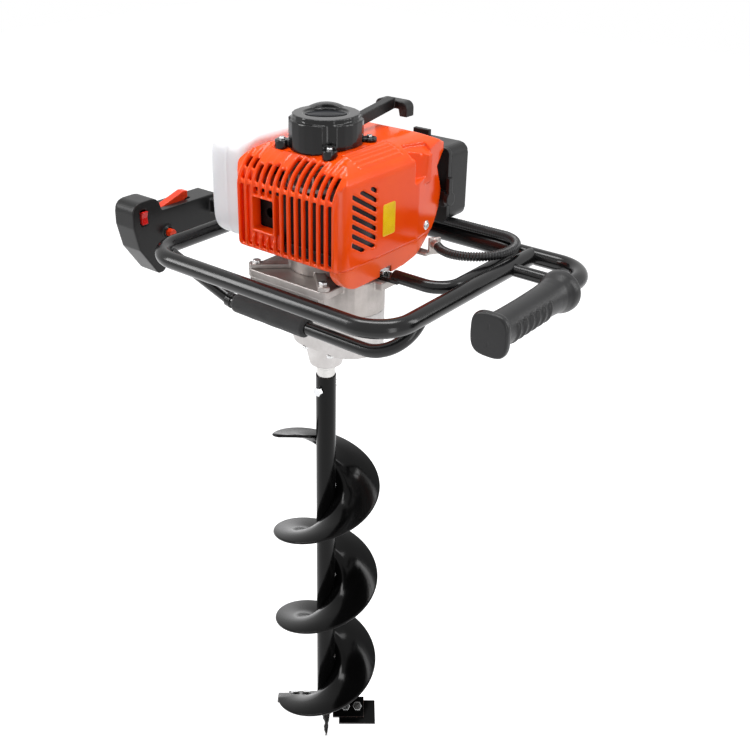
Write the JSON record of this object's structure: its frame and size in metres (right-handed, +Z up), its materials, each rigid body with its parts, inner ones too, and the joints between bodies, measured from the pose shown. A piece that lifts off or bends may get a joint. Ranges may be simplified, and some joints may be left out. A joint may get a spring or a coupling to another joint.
{
  "type": "earth auger",
  "caption": "Hand-held petrol earth auger: two-stroke engine on a reduction gear case in a bent tube frame with side handles, driving a helical drill bit.",
  "frame": {"origin": "tip of the pilot point, on the axis of the bit", "axes": "+Z up along the bit, -Y towards the muffler side of the frame, +X towards the plain grip"},
  "size_m": [0.586, 0.329, 0.997],
  "materials": {
    "bit_paint": "gloss black paint",
    "frame_paint": "gloss black powder coat",
    "steel": "machined steel",
    "zinc": "zinc plated",
    "iron": "machined iron",
    "cast": "die-cast aluminium",
    "bare_cast": "shot-blasted aluminium",
    "black_rubber": "matte rubber",
    "grip_rubber": "moulded rubber",
    "foam": "closed-cell foam",
    "muffler_steel": "heat-resistant black",
    "black_plastic": "fine grain",
    "gloss_black": "polished",
    "orange": "gloss moulding",
    "cowl_orange": "gloss moulding",
    "control_orange": "gloss moulding",
    "switch_red": "gloss moulding",
    "tank_white": "translucent white",
    "ivory": "moulded",
    "filter_foam": "open foam",
    "conduit_grey": "ribbed conduit"
  },
  "bodies": {
    "chassis": {"frame_loop": "frame_paint", "rear_bar": "frame_paint", "frame_braces": "frame_paint", "lower_bar": "frame_paint", "ball_bearings": "steel", "clutch_hub": "steel", "crankshaft": "steel", "connecting_rod": "steel", "wrist_pin": "steel", "spark_plug": "steel", "fasteners": "zinc", "gear_case_upper": "cast", "clutch_bell": "cast", "crankcase_lower": "cast", "crankcase_upper": "cast", "piston": "cast", "cylinder_head": "cast", "flywheel": "cast", "carburettor": "cast", "gear_case_lower": "bare_cast", "gear_case_middle": "bare_cast", "output_seal": "black_rubber", "plug_boot": "black_rubber", "plain_grip": "grip_rubber", "foam_sleeve": "foam", "muffler": "muffler_steel", "ignition_coil": "black_plastic", "insulator": "black_plastic", "filter_base": "black_plastic", "filter_cover": "black_plastic", "throttle_half_left": "black_plastic", "throttle_half_right": "black_plastic", "starter_housing": "gloss_black", "engine_shroud": "orange", "lower_cowl": "cowl_orange", "fuel_tank": "tank_white", "filter_element": "filter_foam", "conduit": "conduit_grey"},
    "bit": {"pilot_point": "bit_paint", "stem_tube": "bit_paint", "auger_flight": "bit_paint", "cutting_blades": "bit_paint", "bit_bolts": "zinc", "output_shaft": "steel", "output_gear": "steel"},
    "layshaft": {"layshaft": "steel"},
    "clutch_drum": {"input_pinion": "steel", "clutch_drum": "iron"},
    "shoe_front": {"clutch_shoe_front": "iron"},
    "shoe_back": {"clutch_shoe_back": "iron"},
    "starter_handle": {"starter_handle": "black_plastic"},
    "starter_reel": {"starter_reel": "ivory"},
    "trigger": {"throttle_trigger": "black_plastic"},
    "lockout": {"lockout_lever": "control_orange"},
    "button": {"lock_button": "control_orange"},
    "switch": {"stop_switch": "switch_red"},
    "choke": {"choke_lever": "black_plastic"},
    "filter_knob": {"filter_knob": "black_plastic"},
    "cap_gasket": {"cap_gasket": "black_rubber"},
    "fuel_cap": {"fuel_cap": "black_plastic"}
  },
  "joints": [
    {"name": "bit_spin", "type": "hinge", "parent": "chassis", "child": "bit", "pos_m": [0, 0, 0.6], "axis": [0, 0, 1], "continuous": true},
    {"name": "layshaft_spin", "type": "hinge", "parent": "chassis", "child": "layshaft", "pos_m": [0.0405, 0, 0.74], "axis": [0, 0, 1], "continuous": true},
    {"name": "drum_spin", "type": "hinge", "parent": "chassis", "child": "clutch_drum", "pos_m": [0, 0, 0.79], "axis": [0, 0, 1], "continuous": true},
    {"name": "shoe_front_out", "type": "slide", "parent": "chassis", "child": "shoe_front", "axis": [0, -1, 0], "range_m": [0, 0.0007], "stiffness_N_per_m": 9000},
    {"name": "shoe_back_out", "type": "slide", "parent": "chassis", "child": "shoe_back", "axis": [0, 1, 0], "range_m": [0, 0.0007], "stiffness_N_per_m": 9000},
    {"name": "starter_pull", "type": "slide", "parent": "chassis", "child": "starter_handle", "axis": [0, 1, 0], "range_m": [0, 0.7], "stiffness_N_per_m": 30, "springref_m": -0.3},
    {"name": "reel_spin", "type": "hinge", "parent": "chassis", "child": "starter_reel", "pos_m": [0, 0, 0.965], "axis": [0, 0, 1], "range_deg": [0, 1180]},
    {"name": "trigger_pull", "type": "hinge", "parent": "chassis", "child": "trigger", "pos_m": [-0.268, 0.014, 0.789], "axis": [-1, 0, 0], "range_deg": [0, 12], "stiffness_Nm_per_rad": 0.4, "springref_deg": -17.19},
    {"name": "lockout_press", "type": "hinge", "parent": "chassis", "child": "lockout", "pos_m": [-0.268, -0.038, 0.823], "axis": [-1, 0, 0], "range_deg": [0, 8], "stiffness_Nm_per_rad": 0.4, "springref_deg": -11.46},
    {"name": "button_press", "type": "slide", "parent": "chassis", "child": "button", "axis": [-1, 0, 0], "range_m": [0, 0.0035], "stiffness_N_per_m": 600},
    {"name": "stop_rock", "type": "hinge", "parent": "chassis", "child": "switch", "pos_m": [-0.252, -0.082, 0.826], "axis": [0, 1, 0], "range_deg": [-14, 0]},
    {"name": "choke_turn", "type": "hinge", "parent": "chassis", "child": "choke", "pos_m": [0.083, 0.146, 0.866], "axis": [-1, 0, 0], "range_deg": [0, 60]},
    {"name": "knob_turn", "type": "hinge", "parent": "chassis", "child": "filter_knob", "pos_m": [0.026, 0.162, 0.94], "axis": [0, 0, 1], "range_deg": [0, 90]},
    {"name": "cap_rise", "type": "slide", "parent": "chassis", "child": "cap_gasket", "axis": [-1, 0, 0], "range_m": [0, 0.006]},
    {"name": "cap_turn", "type": "hinge", "parent": "cap_gasket", "child": "fuel_cap", "pos_m": [-0.16, 0.044, 0.892], "axis": [-1, 0, 0], "range_deg": [0, 720]}
  ],
  "couplings": [
    {"joint": "layshaft_spin", "follows": "bit_spin", "ratio": -4.4},
    {"joint": "drum_spin", "follows": "bit_spin", "ratio": 19.36},
    {"joint": "reel_spin", "follows": "starter_pull", "rad_per_m": 29.412},
    {"joint": "cap_turn", "follows": "cap_rise", "rad_per_m": 2094.4}
  ]
}
